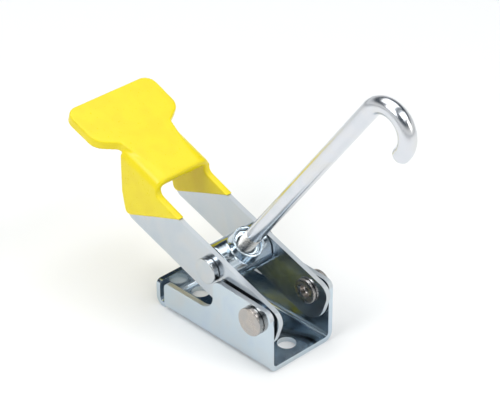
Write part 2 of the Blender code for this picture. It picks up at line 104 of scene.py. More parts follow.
def add_node(tree: bpy.types.NodeTree, kind: str, settings: dict[str | int, object] | None = None,
             links: dict[str | int, bpy.types.NodeSocket] | None = None) -> bpy.types.Node:
    """Add a shader node, set it up and link its inputs.

    Args:
        tree: The node tree that gets the node.
        kind: The node's type, without its "ShaderNode" prefix.
        settings: Values by input socket (name or number) or by property name.
        links: Output sockets by input socket (name or number).

    Returns:
        The new node.
    """
    node = tree.nodes.new("ShaderNode" + kind)
    for name, value in (settings or {}).items():
        if isinstance(name, int) or name in node.inputs:
            node.inputs[name].default_value = value
        else:
            setattr(node, name, value)
    for name, socket in (links or {}).items():
        tree.links.new(socket, node.inputs[name])
    return node


def new_material(name: str) -> tuple[Material, bpy.types.NodeTree, bpy.types.Node]:
    """Make an empty node material.

    Args:
        name: The finish's name.

    Returns:
        The material, its node tree and its Principled shader.
    """
    made = bpy.data.materials.new(name)
    made.use_nodes = True
    return made, made.node_tree, made.node_tree.nodes["Principled BSDF"]


def set_ramp(node: bpy.types.Node, stops: list[tuple[float, Colour]]) -> None:
    """Give a colour ramp its stops.

    Args:
        node: A colour ramp node.
        stops: Positions and linear colours, in order.
    """
    elements = node.color_ramp.elements
    while len(elements) < len(stops):
        elements.new(0.5)
    for element, (position, colour) in zip(elements, stops):
        element.position = position
        element.color = colour


@dataclass(frozen=True)
class ZincPlate:
    """Electroplated zinc with a clear blue passivation on steel: bright, faintly cloudy and cool.

    The film's thickness drifts, so its tint and gloss drift with it, and the worked steel below
    leaves marks that draw the reflections out along them.
    """

    name: str
    grain: Grain
    plain: str = "#C5D1D9"       # the film's usual tint
    cool: str = "#BECBD8"        # where it is thicker
    warm: str = "#C8CFD4"        # where it is thinner
    smooth: float = 0.09         # roughness of its brightest places
    dull: float = 0.18           # roughness of its dullest places
    turn_y: float = 0.0          # which way the marks run, as a turn about Y
    cloud_mm: float = 14.0       # width of one cloud

    def build(self) -> Material:
        """Build the finish: cloudy passivation, uneven gloss and worked-steel marks.

        Returns:
            The material.
        """
        made, tree, shader = new_material(self.name)
        length, width, height = GRAIN_MARKS[self.grain]
        place = add_node(tree, "TexCoord")
        turned = add_node(tree, "Mapping", {"Rotation": (0.0, self.turn_y, 0.0)},
                          {"Vector": place.outputs["Object"]})
        drawn_out = add_node(tree, "Mapping", {"Scale": (width / length, 1.0, 1.0)},
                             {"Vector": turned.outputs["Vector"]})
        clouds = add_node(tree, "TexNoise", {"Scale": 1 / (self.cloud_mm * MM), "Detail": 3.0,
                                             "Roughness": 0.55, "Distortion": 0.6},
                          {"Vector": turned.outputs["Vector"]})
        tint = add_node(tree, "ValToRGB", None, {"Fac": clouds.outputs["Fac"]})
        set_ramp(tint, [(0.30, linear(self.cool)), (0.52, linear(self.plain)), (0.72, linear(self.warm))])
        marks = add_node(tree, "TexNoise", {"Scale": 1 / (width * MM), "Detail": 4.0, "Roughness": 0.6},
                         {"Vector": drawn_out.outputs["Vector"]})
        mottle = add_node(tree, "Math", {"operation": "MULTIPLY"},
                          {0: marks.outputs["Fac"], 1: clouds.outputs["Fac"]})
        gloss = add_node(tree, "MapRange", {"From Min": 0.12, "From Max": 0.42, "To Min": self.smooth,
                                            "To Max": self.dull}, {"Value": mottle.outputs["Value"]})
        relief = add_node(tree, "Bump", {"Strength": 1.0, "Distance": height * MM},
                          {"Height": marks.outputs["Fac"]})
        shader.inputs["Metallic"].default_value = 1.0
        tree.links.new(tint.outputs["Color"], shader.inputs["Base Color"])
        tree.links.new(gloss.outputs["Result"], shader.inputs["Roughness"])
        tree.links.new(relief.outputs["Normal"], shader.inputs["Normal"])
        return made


@dataclass(frozen=True)
class VinylDip:
    """Plastisol vinyl, dipped and cured: opaque yellow, softly glossy, gently uneven."""

    name: str
    body: str = "#F1DD08"        # where the coat is thick
    thin: str = "#EDD706"        # where it has run thin
    smooth: float = 0.27         # roughness of its glossiest places
    dull: float = 0.36           # roughness of its dullest places
    wave_mm: float = 9.0         # width of one wave that the running vinyl leaves
    wave_height: float = 0.15 * MM
    peel_mm: float = 1.1         # width of one dimple of its orange peel
    peel_height: float = 0.02 * MM

    def build(self) -> Material:
        """Build the finish: slow waves from the dip, fine orange peel and a satin gloss.

        Returns:
            The material.
        """
        made, tree, shader = new_material(self.name)
        place = add_node(tree, "TexCoord")
        waves = add_node(tree, "TexNoise", {"Scale": 1 / (self.wave_mm * MM), "Detail": 1.5},
                         {"Vector": place.outputs["Object"]})
        peel = add_node(tree, "TexNoise", {"Scale": 1 / (self.peel_mm * MM), "Detail": 2.0},
                        {"Vector": place.outputs["Object"]})
        tint = add_node(tree, "ValToRGB", None, {"Fac": waves.outputs["Fac"]})
        set_ramp(tint, [(0.35, linear(self.thin)), (0.62, linear(self.body))])
        gloss = add_node(tree, "MapRange", {"From Min": 0.3, "From Max": 0.7, "To Min": self.smooth,
                                            "To Max": self.dull}, {"Value": peel.outputs["Fac"]})
        slow = add_node(tree, "Bump", {"Strength": 0.5, "Distance": self.wave_height},
                        {"Height": waves.outputs["Fac"]})
        fine = add_node(tree, "Bump", {"Strength": 0.35, "Distance": self.peel_height},
                        {"Height": peel.outputs["Fac"], "Normal": slow.outputs["Normal"]})
        shader.inputs["IOR"].default_value = 1.48
        tree.links.new(tint.outputs["Color"], shader.inputs["Base Color"])
        tree.links.new(gloss.outputs["Result"], shader.inputs["Roughness"])
        tree.links.new(fine.outputs["Normal"], shader.inputs["Normal"])
        return made


@dataclass(frozen=True)
class MouldedNylon:
    """Polyamide locking ring, moulded: milky, slightly waxy."""

    name: str
    body: str = "#D8D9CE"
    shade: str = "#C9CBBF"
    cloud_mm: float = 1.5
    cloud_height: float = 0.02 * MM

    def build(self) -> Material:
        """Build the finish: faint cloudiness and a soft moulded surface.

        Returns:
            The material.
        """
        made, tree, shader = new_material(self.name)
        place = add_node(tree, "TexCoord")
        cloud = add_node(tree, "TexNoise", {"Scale": 1 / (self.cloud_mm * MM), "Detail": 2.0},
                         {"Vector": place.outputs["Object"]})
        tint = add_node(tree, "ValToRGB", None, {"Fac": cloud.outputs["Fac"]})
        set_ramp(tint, [(0.3, linear(self.shade)), (0.7, linear(self.body))])
        relief = add_node(tree, "Bump", {"Strength": 0.3, "Distance": self.cloud_height},
                          {"Height": cloud.outputs["Fac"]})
        shader.inputs["IOR"].default_value = 1.53
        shader.inputs["Roughness"].default_value = 0.45
        tree.links.new(tint.outputs["Color"], shader.inputs["Base Color"])
        tree.links.new(relief.outputs["Normal"], shader.inputs["Normal"])
        return made


@dataclass(frozen=True)
class PaperSweep:
    """Matt white paper under the clamp, with a barely visible tooth."""

    name: str
    body: str = "#FBFBFA"
    tooth_mm: float = 2.0        # drawn coarse: real fibres are too fine to show
    tooth_height: float = 0.02 * MM

    def build(self) -> Material:
        """Build the finish: matt white with a trace of fibre.

        Returns:
            The material.
        """
        made, tree, shader = new_material(self.name)
        place = add_node(tree, "TexCoord")
        tooth = add_node(tree, "TexNoise", {"Scale": 1 / (self.tooth_mm * MM), "Detail": 3.0},
                         {"Vector": place.outputs["Object"]})
        relief = add_node(tree, "Bump", {"Strength": 0.1, "Distance": self.tooth_height},
                          {"Height": tooth.outputs["Fac"]})
        shader.inputs["Base Color"].default_value = linear(self.body)
        shader.inputs["Roughness"].default_value = 0.85
        tree.links.new(relief.outputs["Normal"], shader.inputs["Normal"])
        return made


# ---------------------------------------------------------------------------------------------
# Shop tools: the few operations that every piece is made with
# ---------------------------------------------------------------------------------------------


def only(parts: list[object], kind: type) -> list:
    """Keep the vertices, edges or faces of an operator's result."""
    return [part for part in parts if isinstance(part, kind)]


def bevel(bm: Mesh, edges: Edges, width: float, strips: int) -> None:
    """Round edges over.

    Args:
        bm: The mesh.
        edges: Its edges to round.
        width: How far the rounding reaches, in metres.
        strips: How many strips the rounding gets.
    """
    bmesh.ops.bevel(bm, geom=edges, offset=width, segments=strips, profile=0.5, affect="EDGES",
                    material=-1, clamp_overlap=True)


def round_corner(bm: Mesh, vert: bmesh.types.BMVert, reach: float, strips: int) -> None:
    """Round one corner of a drawn outline.

    Args:
        bm: The mesh.
        vert: The corner.
        reach: How far along its two edges the rounding starts, in metres.
        strips: How many strips the rounding gets.
    """
    bmesh.ops.bevel(bm, geom=[vert], offset=reach, segments=strips, profile=0.5, affect="VERTICES",
                    material=-1)


def outline_prism(corners: list[Corner], across: str, low: float, high: float) -> Mesh:
    """Draw an outline, round its corners and extrude it.

    Args:
        corners: Points as (a, b, corner radius) in metres, in order round the outline.
        across: The axis that it is extruded along: "X" reads (y, z), "Y" (x, z), "Z" (x, y).
        low: Where the extrusion starts.
        high: Where it ends.

    Returns:
        The solid.
    """
    bm = bmesh.new()
    spots = {"X": lambda a, b: (low, a, b), "Y": lambda a, b: (a, low, b), "Z": lambda a, b: (a, b, low)}
    verts = [bm.verts.new(spots[across](a, b)) for a, b, _ in corners]
    bm.faces.new(verts)
    for index, vert in enumerate(verts):
        radius = corners[index][2]
        if radius > 0:
            before = Vector(corners[index - 1][:2]) - Vector(corners[index][:2])
            after = Vector(corners[(index + 1) % len(corners)][:2]) - Vector(corners[index][:2])
            reach = radius / math.tan(before.angle(after) / 2)
            round_corner(bm, vert, reach, CORNER_STRIPS)
    pulled = bmesh.ops.extrude_face_region(bm, geom=list(bm.faces))["geom"]
    way = {"X": (high - low, 0, 0), "Y": (0, high - low, 0), "Z": (0, 0, high - low)}[across]
    bmesh.ops.translate(bm, vec=way, verts=only(pulled, bmesh.types.BMVert))
    bmesh.ops.recalc_face_normals(bm, faces=bm.faces)
    return bm


def lathe(profile: list[Spot], axis: Vector, roundings: dict[int, float]) -> Mesh:
    """Turn a profile round an axis through the origin.

    Args:
        profile: Points as (distance along the axis, radius) in metres.
        axis: The axis.
        roundings: How far each rounded corner reaches, in metres, by its point's number.

    Returns:
        The turned solid, closed where the profile ends on the axis or comes back to its start.
    """
    bm = bmesh.new()
    verts = [bm.verts.new((radius, 0.0, along)) for along, radius in profile]
    closed = min(profile[0][1], profile[-1][1]) > 0
    ends = list(zip(verts, verts[1:])) + ([(verts[-1], verts[0])] if closed else [])
    for start, end in ends:
        bm.edges.new((start, end))
    for index, reach in roundings.items():
        round_corner(bm, verts[index], reach, TURNED_STRIPS)
    bmesh.ops.spin(bm, geom=list(bm.verts) + list(bm.edges), cent=(0, 0, 0), axis=(0, 0, 1),
                   dvec=(0, 0, 0), angle=2 * math.pi, steps=TURNED_SIDES, use_merge=True)
    bmesh.ops.remove_doubles(bm, verts=bm.verts, dist=WELD)
    bmesh.ops.recalc_face_normals(bm, faces=bm.faces)
    turn = Vector((0, 0, 1)).rotation_difference(axis).to_matrix().to_4x4()
    bmesh.ops.transform(bm, matrix=turn, verts=bm.verts)
    return bm


def cut_off(bm: Mesh, point: Point, outwards: Point, close: bool = True) -> Edges:
    """Cut away what lies beyond a plane.

    Args:
        bm: The mesh.
        point: A point on the plane.
        outwards: The plane's direction, towards what goes.
        close: Whether the cut is closed with a face.

    Returns:
        The edges round the cut.
    """
    whole = list(bm.verts) + list(bm.edges) + list(bm.faces)
    cut = bmesh.ops.bisect_plane(bm, geom=whole, dist=WELD, plane_co=point, plane_no=outwards,
                                 clear_outer=True)["geom_cut"]
    rim = only(cut, bmesh.types.BMEdge)
    if close:
        bmesh.ops.contextual_create(bm, geom=rim)
    return rim


def joined(shells: list[Mesh]) -> Mesh:
    """Gather several meshes into one.

    Args:
        shells: The meshes, which are used up.

    Returns:
        One mesh with all their shells.
    """
    whole = bmesh.new()
    for shell in shells:
        held = bpy.data.meshes.new("held")
        shell.to_mesh(held)
        shell.free()
        whole.from_mesh(held)
        bpy.data.meshes.remove(held)
    return whole


def make_piece(name: str, bm: Mesh, finishes: list[Material], sharp_deg: float = 35.0) -> bpy.types.Object:
    """Turn a mesh into a smooth-shaded object at the origin.

    Args:
        name: The piece's name.
        bm: Its mesh, which is used up.
        finishes: Its materials, in slot order.
        sharp_deg: The angle past which an edge is shaded sharp.

    Returns:
        The object.
    """
    mesh = bpy.data.meshes.new(name)
    bm.to_mesh(mesh)
    bm.free()
    for finish in finishes:
        mesh.materials.append(finish)
    mesh.shade_smooth()
    mesh.set_sharp_from_angle(angle=math.radians(sharp_deg))
    piece = bpy.data.objects.new(name, mesh)
    bpy.context.scene.collection.objects.link(piece)
    return piece


def settle(piece: bpy.types.Object) -> None:
    """Apply a piece's modifiers to its mesh.

    Args:
        piece: The piece.
    """
    bpy.context.view_layer.update()
    evaluated = piece.evaluated_get(bpy.context.evaluated_depsgraph_get())
    old = piece.data
    piece.data = bpy.data.meshes.new_from_object(evaluated)
    piece.modifiers.clear()
    bpy.data.meshes.remove(old)
    piece.data.name = piece.name


def fuse(piece: bpy.types.Object, grid: float, passes: int) -> None:
    """Fuse a piece's overlapping shells into one skin with soft edges and filled corners.

    Args:
        piece: The piece.
        grid: The new mesh's spacing in metres.
        passes: How often the skin is relaxed.
    """
    remesh = piece.modifiers.new("fuse", "REMESH")
    remesh.mode = "VOXEL"
    remesh.voxel_size = grid
    remesh.use_smooth_shade = True
    relax = piece.modifiers.new("relax", "SMOOTH")
    relax.factor = 0.5
    relax.iterations = passes
    settle(piece)
    piece.data.shade_smooth()


def copy_of(node: str) -> Mesh:
    """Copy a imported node's mesh, weld it and clear the lines across its flat faces.

    Args:
        node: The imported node.

    Returns:
        The copy.
    """
    bm = bmesh.new()
    bm.from_mesh(frame["nodes"][node].data)
    bmesh.ops.remove_doubles(bm, verts=bm.verts, dist=WELD)
    bmesh.ops.dissolve_limit(bm, angle_limit=math.radians(FLAT_DEG), verts=bm.verts, edges=bm.edges)
    return bm


def crisp_edges(bm: Mesh, least_deg: float) -> Edges:
    """Find the edges where two faces meet at more than an angle."""
    least = math.radians(least_deg)
    return [edge for edge in bm.edges if len(edge.link_faces) == 2 and edge.calc_face_angle(0.0) > least]


def even_normals(piece: bpy.types.Object) -> None:
    """Let big flat faces keep flat shading beside their rounded edges.

    Args:
        piece: The piece.
    """
    weighted = piece.modifiers.new("even_normals", "WEIGHTED_NORMAL")
    weighted.keep_sharp = True
    weighted.weight = 90


def mount(piece: bpy.types.Object, body: str, slot: str, *nodes: str) -> None:
    """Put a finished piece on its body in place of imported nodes.

    Args:
        piece: The piece.
        body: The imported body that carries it.
        slot: The name of one of the record's material slots; not used.
        nodes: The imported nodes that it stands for.
    """
    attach(piece, body)
    if nodes:
        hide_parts(*nodes)
    LOG.info("%s rides on %s, %d faces", piece.name, body, len(piece.data.polygons))


def hole_axis(joint: str) -> Vector:
    """The point that a packed joint turns about."""
    found = next(row for row in frame["joints"] if row["name"] == joint)
    return Vector(found["pos_m"])


# ---------------------------------------------------------------------------------------------
# The clamp
# ---------------------------------------------------------------------------------------------


@dataclass
class Pressings:
    """The folded base and the stamped handle: 2.5 mm sheet with sheared, tumbled edges."""

    edge_break: float = 0.28 * MM
    edge_strips: int = 2
    crisp_deg: float = 40.0                # a sheared edge; the bends' strips meet at far less
    rim_width: float = 2.6 * MM
    rim_share: Spot = (0.8, 1.1)           # a rim's span across, as a share of its width
    level_share: float = 0.2               # the most that a rim faces sideways
    handle_tilt_deg: float = 18.2
    plate: Material | None = None
    leg: Material | None = None
    sheared: Material | None = None

    def dress(self) -> None:
        """Make the two sheet finishes and the rougher one of the cut edges."""
        # Bright zinc on smooth rolled sheet: almost a mirror, with soft-edged patches of the dark
        # room and the white paper, and a blue cast.
        self.plate = ZincPlate("zinc_plate_on_rolled_base", Grain.ROLLED).build()
        # The same zinc, duller and greyer on the handle: its reflections melt into broad, even
        # silver, drawn out along the legs.
        self.leg = ZincPlate("zinc_plate_on_rolled_handle", Grain.ROLLED,
                             turn_y=math.radians(-self.handle_tilt_deg), plain="#C5CBD1",
                             cool="#BDC6CF", warm="#C9CBCD", smooth=0.16, dull=0.26).build()
        # Zinc over the torn grain that shears leave: pale and matt, so that the sheet's thickness
        # reads as a light line.
        self.sheared = ZincPlate("zinc_plate_on_sheared_edge", Grain.SHEARED, plain="#C8CDD1",
                                 cool="#C1C8CD", warm="#CBCCCC", smooth=0.38, dull=0.52).build()

    def pressing(self, name: str, node: str, body: str, finish: Material) -> None:
        """Break a pressing's edges and give its cut edges their own finish.

        Args:
            name: The piece's name.
            node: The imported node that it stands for.
            body: The body that carries it.
            finish: The finish of its sheet faces.
        """
        bm = copy_of(node)
        for face in bm.faces:
            spans = [edge.calc_length() for edge in face.edges]
            narrow = face.calc_area() < self.rim_width * max(spans)
            level = abs(face.normal.y) < self.level_share
            face.material_index = 1 if narrow and level and self.is_rim(face) else 0
        bevel(bm, crisp_edges(bm, self.crisp_deg), self.edge_break, self.edge_strips)
        piece = make_piece(name, bm, [finish, self.sheared])
        even_normals(piece)
        mount(piece, body, "zinc_steel", node)

    def is_rim(self, face: bmesh.types.BMFace) -> bool:
        """Tell whether a face runs straight through the sheet's thickness."""
        least, most = (share * self.rim_width for share in self.rim_share)
        return any(least < abs(edge.verts[0].co.y - edge.verts[1].co.y) < most for edge in face.edges)

    def build(self) -> None:
        """Build both pressings."""
        self.dress()
        self.pressing("base_plate", "base_channel", "base", self.plate)
        self.pressing("handle_plate", "handle_frame", "handle", self.leg)


@dataclass
class VinylGrip:
    """The dipped grip: a soft skin over the handle's plate, its T end and the rear of its legs.

    Its points are (x, z) on the legs and (x, y) on the T end, from the rivets' axis, in the frame
    of the level handle; tilt_deg then turns it to its place.
    """

    tilt_deg: float = 18.2
    leg_outer: float = 17.0 * MM
    leg_inner: float = 13.4 * MM
    plate_top: float = 18.9 * MM
    plate_under: float = 14.7 * MM
    head_under: float = 13.9 * MM
    channel_foot: float = 10.0 * MM
    channel_front: float = -75.4 * MM
    channel_rear: float = -108.0 * MM
    outer_bend: float = 6.3 * MM
    inner_bend: float = 2.2 * MM
    slope: float = math.tan(math.radians(2.0))
    slope_start: float = -76.3 * MM
    rear_top: Spot = (-102.9 * MM, 18.6 * MM)
    waist: Spot = (-95.5 * MM, -3.8 * MM)
    waist_radius: float = 5.0 * MM
    heel: Spot = (-89.4 * MM, -14.7 * MM)
    heel_radius: float = 3.0 * MM
    dip_middle: Spot = (-74.6 * MM, -2.8 * MM)
    dip_radius: float = 20.0 * MM
    dip_top: Spot = (-57.8 * MM, 10.3 * MM)
    notch: Spot = (-75.4 * MM, 11.2 * MM)
    notch_radius: float = 3.4 * MM
    head_start: Spot = (-80.4 * MM, 10.4 * MM)
    throat: Spot = (-99.0 * MM, 14.6 * MM)
    neck: Spot = (-104.0 * MM, 15.8 * MM)
    neck_radius: float = 1.0 * MM
    shoulder: Spot = (-110.3 * MM, 25.9 * MM)
    shoulder_radius: float = 7.4 * MM
    tail: Spot = (-132.8 * MM, 26.2 * MM)
    tail_radius: float = 5.8 * MM
    edge_strips: int = 3
    channel_rounding: float = 1.28 * MM
    leg_rounding: float = 1.6 * MM
    rim_strips: int = 5
    rim_rounding: float = 3.3 * MM
    rim_underside: float = 1.5 * MM
    grid: float = 0.42 * MM
    relax: int = 12

    def raised(self, bm: Mesh) -> Mesh:
        """Shear a mesh so that the plate rises slightly towards its rear.

        Args:
            bm: The mesh.

        Returns:
            The same mesh.
        """
        shear = Matrix()
        shear[2][0] = -self.slope
        shear[2][3] = self.slope * self.slope_start
        bmesh.ops.transform(bm, matrix=shear, verts=bm.verts)
        return bm

    def channel(self) -> Mesh:
        """Make the plate with its two bends, cut to the legs' sloping rear edge.

        Returns:
            The solid.
        """
        outer, inner, foot = self.leg_outer, self.leg_inner, self.channel_foot
        bm = outline_prism([
            (-outer, foot, 0), (-inner, foot, 0), (-inner, self.plate_under, self.inner_bend),
            (inner, self.plate_under, self.inner_bend), (inner, foot, 0), (outer, foot, 0),
            (outer, self.plate_top, self.outer_bend), (-outer, self.plate_top, self.outer_bend)],
            "X", self.channel_rear, self.channel_front)
        self.raised(bm)
        run = Vector((self.waist[0] - self.rear_top[0], 0, self.waist[1] - self.rear_top[1]))
        cut_off(bm, (self.rear_top[0], 0, self.rear_top[1]), (run.z, 0, -run.x))
        bevel(bm, crisp_edges(bm, SQUARE_DEG), self.channel_rounding, self.edge_strips)
        return bm

    def leg(self, sign: int) -> Mesh:
        """Make one coated leg end, down to the dip line.

        Args:
            sign: 1 for the left leg, -1 for the right.

        Returns:
            The solid.
        """
        top = self.plate_under
        lean = (self.rear_top[0] - self.waist[0]) / (self.rear_top[1] - self.waist[1])
        rear_x = self.waist[0] + lean * (top - self.waist[1])
        near, far = sorted((sign * self.leg_inner, sign * self.leg_outer))
        bm = outline_prism([
            (*self.dip_top, 0), (*self.notch, self.notch_radius), (self.notch[0], top, 0), (rear_x, top, 0),
            (*self.waist, self.waist_radius), (*self.heel, self.heel_radius),
            (*self.dip_middle, self.dip_radius)], "Y", near, far)
        bevel(bm, crisp_edges(bm, SQUARE_DEG), self.leg_rounding, self.edge_strips)
        return bm

    def head(self) -> Mesh:
        """Make the T-shaped end with its thick, soft rim.

        Returns:
            The solid.
        """
        half = [
            (*self.head_start, 0), (*self.throat, 0), (*self.neck, self.neck_radius),
            (*self.shoulder, self.shoulder_radius), (*self.tail, self.tail_radius)]
        outline = half + [(x, -y, radius) for x, y, radius in reversed(half)]
        bm = outline_prism(outline, "Z", self.head_under, self.plate_top)
        middle = (self.head_under + self.plate_top) / 2
        for side, reach in ((1, self.rim_rounding), (-1, self.rim_underside)):
            rim = [edge for edge in crisp_edges(bm, SQUARE_DEG)
                   if min(vert.co.x for vert in edge.verts) < self.rear_top[0]
                   and min(side * (vert.co.z - middle) for vert in edge.verts) > 0]
            bevel(bm, rim, reach, self.rim_strips)
        return self.raised(bm)

    def build(self) -> None:
        """Fuse the grip's shells and set it on the handle."""
        bm = joined([self.channel(), self.leg(1), self.leg(-1), self.head()])
        pivot = hole_axis("handle_pivot")
        place = Matrix.Translation(pivot) @ Matrix.Rotation(math.radians(self.tilt_deg), 4, "Y")
        bmesh.ops.transform(bm, matrix=place, verts=bm.verts)
        # Thick, opaque plastisol: saturated yellow to the very edge, a wide satin highlight on its
        # rounded rim and a barely lumpy surface.
        piece = make_piece("vinyl_grip", bm, [VinylDip("dipped_yellow_vinyl").build()])
        fuse(piece, self.grid, self.relax)
        mount(piece, "handle", "yellow_vinyl", "grip_coating")


@dataclass
class Rivets:
    """The handle's two semi-tubular rivets and the washers beside its legs."""

    head_radius: float = 6.9 * MM
    head_height: float = 2.6 * MM
    shank_radius: float = 4.5 * MM
    tail_radius: float = 6.2 * MM
    tail_height: float = 1.4 * MM
    cup_radius: float = 3.0 * MM
    cup_depth: float = 2.6 * MM
    cup_point: float = 0.5 * MM            # depth of the drill point at its bottom
    cup_draft: float = 0.6 * MM            # how much narrower its bottom is
    lip_fall: float = 0.4 * MM             # how far its mouth lies inside the rolled crest
    crest: float = 1.2 * MM                # from its mouth out to the rolled crest
    crest_fall: float = 0.2 * MM           # from the crest down to the tail's rim
    cup_rounding: float = 0.4 * MM
    crest_rounding: float = 0.7 * MM
    rim_rounding: float = 0.3 * MM
    head_rounding: float = 0.45 * MM
    washer_rounding: float = 0.12 * MM
    wall_outer: float = 20.3 * MM
    leg_inner: float = 13.6 * MM
    washer_inner: float = 16.7 * MM
    washer_outer: float = 17.2 * MM
    washer_hole: float = 4.8 * MM

    def rivet(self, side: str, sign: int, finish: Material) -> None:
        """Build one rivet: a flat head, a shank and a rolled tail with a cup.

        Args:
            side: "left" or "right".
            sign: 1 for left, -1 for right.
            finish: Its finish.
        """
        tail = self.leg_inner - self.tail_height
        cup = tail + self.cup_depth
        head = self.wall_outer + self.head_height
        profile = [
            (cup + self.cup_point, 0.0), (cup, self.cup_radius - self.cup_draft),
            (tail + self.lip_fall, self.cup_radius), (tail, self.cup_radius + self.crest),
            (tail + self.crest_fall, self.tail_radius),
            (self.leg_inner, self.tail_radius), (self.leg_inner, self.shank_radius),
            (self.wall_outer, self.shank_radius), (self.wall_outer, self.head_radius),
            (head, self.head_radius), (head, 0.0)]
        roundings = {1: self.cup_rounding, 3: self.crest_rounding, 4: self.rim_rounding,
                     9: self.head_rounding}
        bm = lathe(profile, Vector((0, sign, 0)), roundings)
        bmesh.ops.translate(bm, vec=self.centre(), verts=bm.verts)
        piece = make_piece("rivet_" + side, bm, [finish])
        even_normals(piece)
        mount(piece, "base", "rivet_steel", "pivot_rivet_" + side)

    def washer(self, side: str, sign: int, finish: Material) -> None:
        """Build one thin washer between a wall and a leg.

        Args:
            side: "left" or "right".
            sign: 1 for left, -1 for right.
            finish: Its finish.
        """
        profile = [(self.washer_inner, self.washer_hole), (self.washer_inner, self.head_radius),
                   (self.washer_outer, self.head_radius), (self.washer_outer, self.washer_hole)]
        bm = lathe(profile, Vector((0, sign, 0)), {1: self.washer_rounding, 2: self.washer_rounding})
        bmesh.ops.translate(bm, vec=self.centre(), verts=bm.verts)
        piece = make_piece("washer_" + side, bm, [finish])
        even_normals(piece)
        mount(piece, "base", "zinc_steel", "pivot_washer_" + side)

    def centre(self) -> Vector:
        """The rivets' axis at the clamp's middle plane."""
        return hole_axis("handle_pivot")

    def build(self) -> None:
        """Build both rivets and both washers."""
        # Steel greyed by the heading tool: darker, warmer and flatter than the zinc round it.
        headed = ZincPlate("cold_headed_steel_rivet", Grain.TURNED, plain="#B4AEA9", cool="#ABA9A7",
                           warm="#B9B0A6", smooth=0.2, dull=0.34, cloud_mm=6.0).build()
        # Thin, bright zinc: a cool glint in the gap between wall and leg.
        stamped = ZincPlate("zinc_plate_on_stamped_washer", Grain.TURNED).build()
        for side, sign in (("left", 1), ("right", -1)):
            self.rivet(side, sign, headed)
            self.washer(side, sign, stamped)


@dataclass
class Trunnion:
    """The cross barrel with its ringed boss, and the two headed pins that carry it."""

    tilt_deg: float = 53.5
    grid: float = 0.3 * MM
    relax: int = 5
    pin_radius: float = 4.0 * MM
    pin_root: float = 6.5 * MM
    leg_outer: float = 16.7 * MM
    head_radius: float = 6.3 * MM
    head_height: float = 3.2 * MM
    dome: float = 0.15 * MM
    root_rounding: float = 0.5 * MM
    seat_rounding: float = 0.2 * MM
    head_rounding: float = 0.55 * MM

    def body(self, finish: Material) -> None:
        """Build the barrel, with its edges turned soft.

        Args:
            finish: Its finish.
        """
        piece = make_piece("trunnion_body", copy_of("trunnion"), [finish])
        fuse(piece, self.grid, self.relax)
        mount(piece, "trunnion", "zinc_steel", "trunnion")

    def pin(self, side: str, sign: int, finish: Material) -> None:
        """Build one pin with its thick, slightly domed head.

        Args:
            side: "left" or "right".
            sign: 1 for left, -1 for right.
            finish: Its finish.
        """
        head = self.leg_outer + self.head_height
        profile = [
            (self.pin_root, 0.0), (self.pin_root, self.pin_radius), (self.leg_outer, self.pin_radius),
            (self.leg_outer, self.head_radius), (head - self.dome, self.head_radius), (head, 0.0)]
        roundings = {1: self.root_rounding, 3: self.seat_rounding, 4: self.head_rounding}
        bm = lathe(profile, Vector((0, sign, 0)), roundings)
        bmesh.ops.translate(bm, vec=hole_axis("hook_swing"), verts=bm.verts)
        piece = make_piece("pin_" + side, bm, [finish])
        even_normals(piece)
        mount(piece, "trunnion", "zinc_steel", "trunnion_pin_" + side)

    def build(self) -> None:
        """Build the barrel and both pins."""
        # Zinc on a turned barrel: bright and cool, with fine rings that fan its highlights out.
        turned = ZincPlate("zinc_plate_on_turned_trunnion", Grain.TURNED, smooth=0.1, dull=0.2,
                           cloud_mm=7.0, turn_y=math.radians(self.tilt_deg)).build()
        # Zinc on a headed pin: a silver disc with one soft gradient across its slight dome.
        headed = ZincPlate("zinc_plate_on_headed_pin", Grain.TURNED, plain="#C4C9CD", cool="#BDC4CA",
                           warm="#C8C9CA", smooth=0.16, dull=0.26, cloud_mm=5.0).build()
        self.body(turned)
        for side, sign in (("left", 1), ("right", -1)):
            self.pin(side, sign, headed)


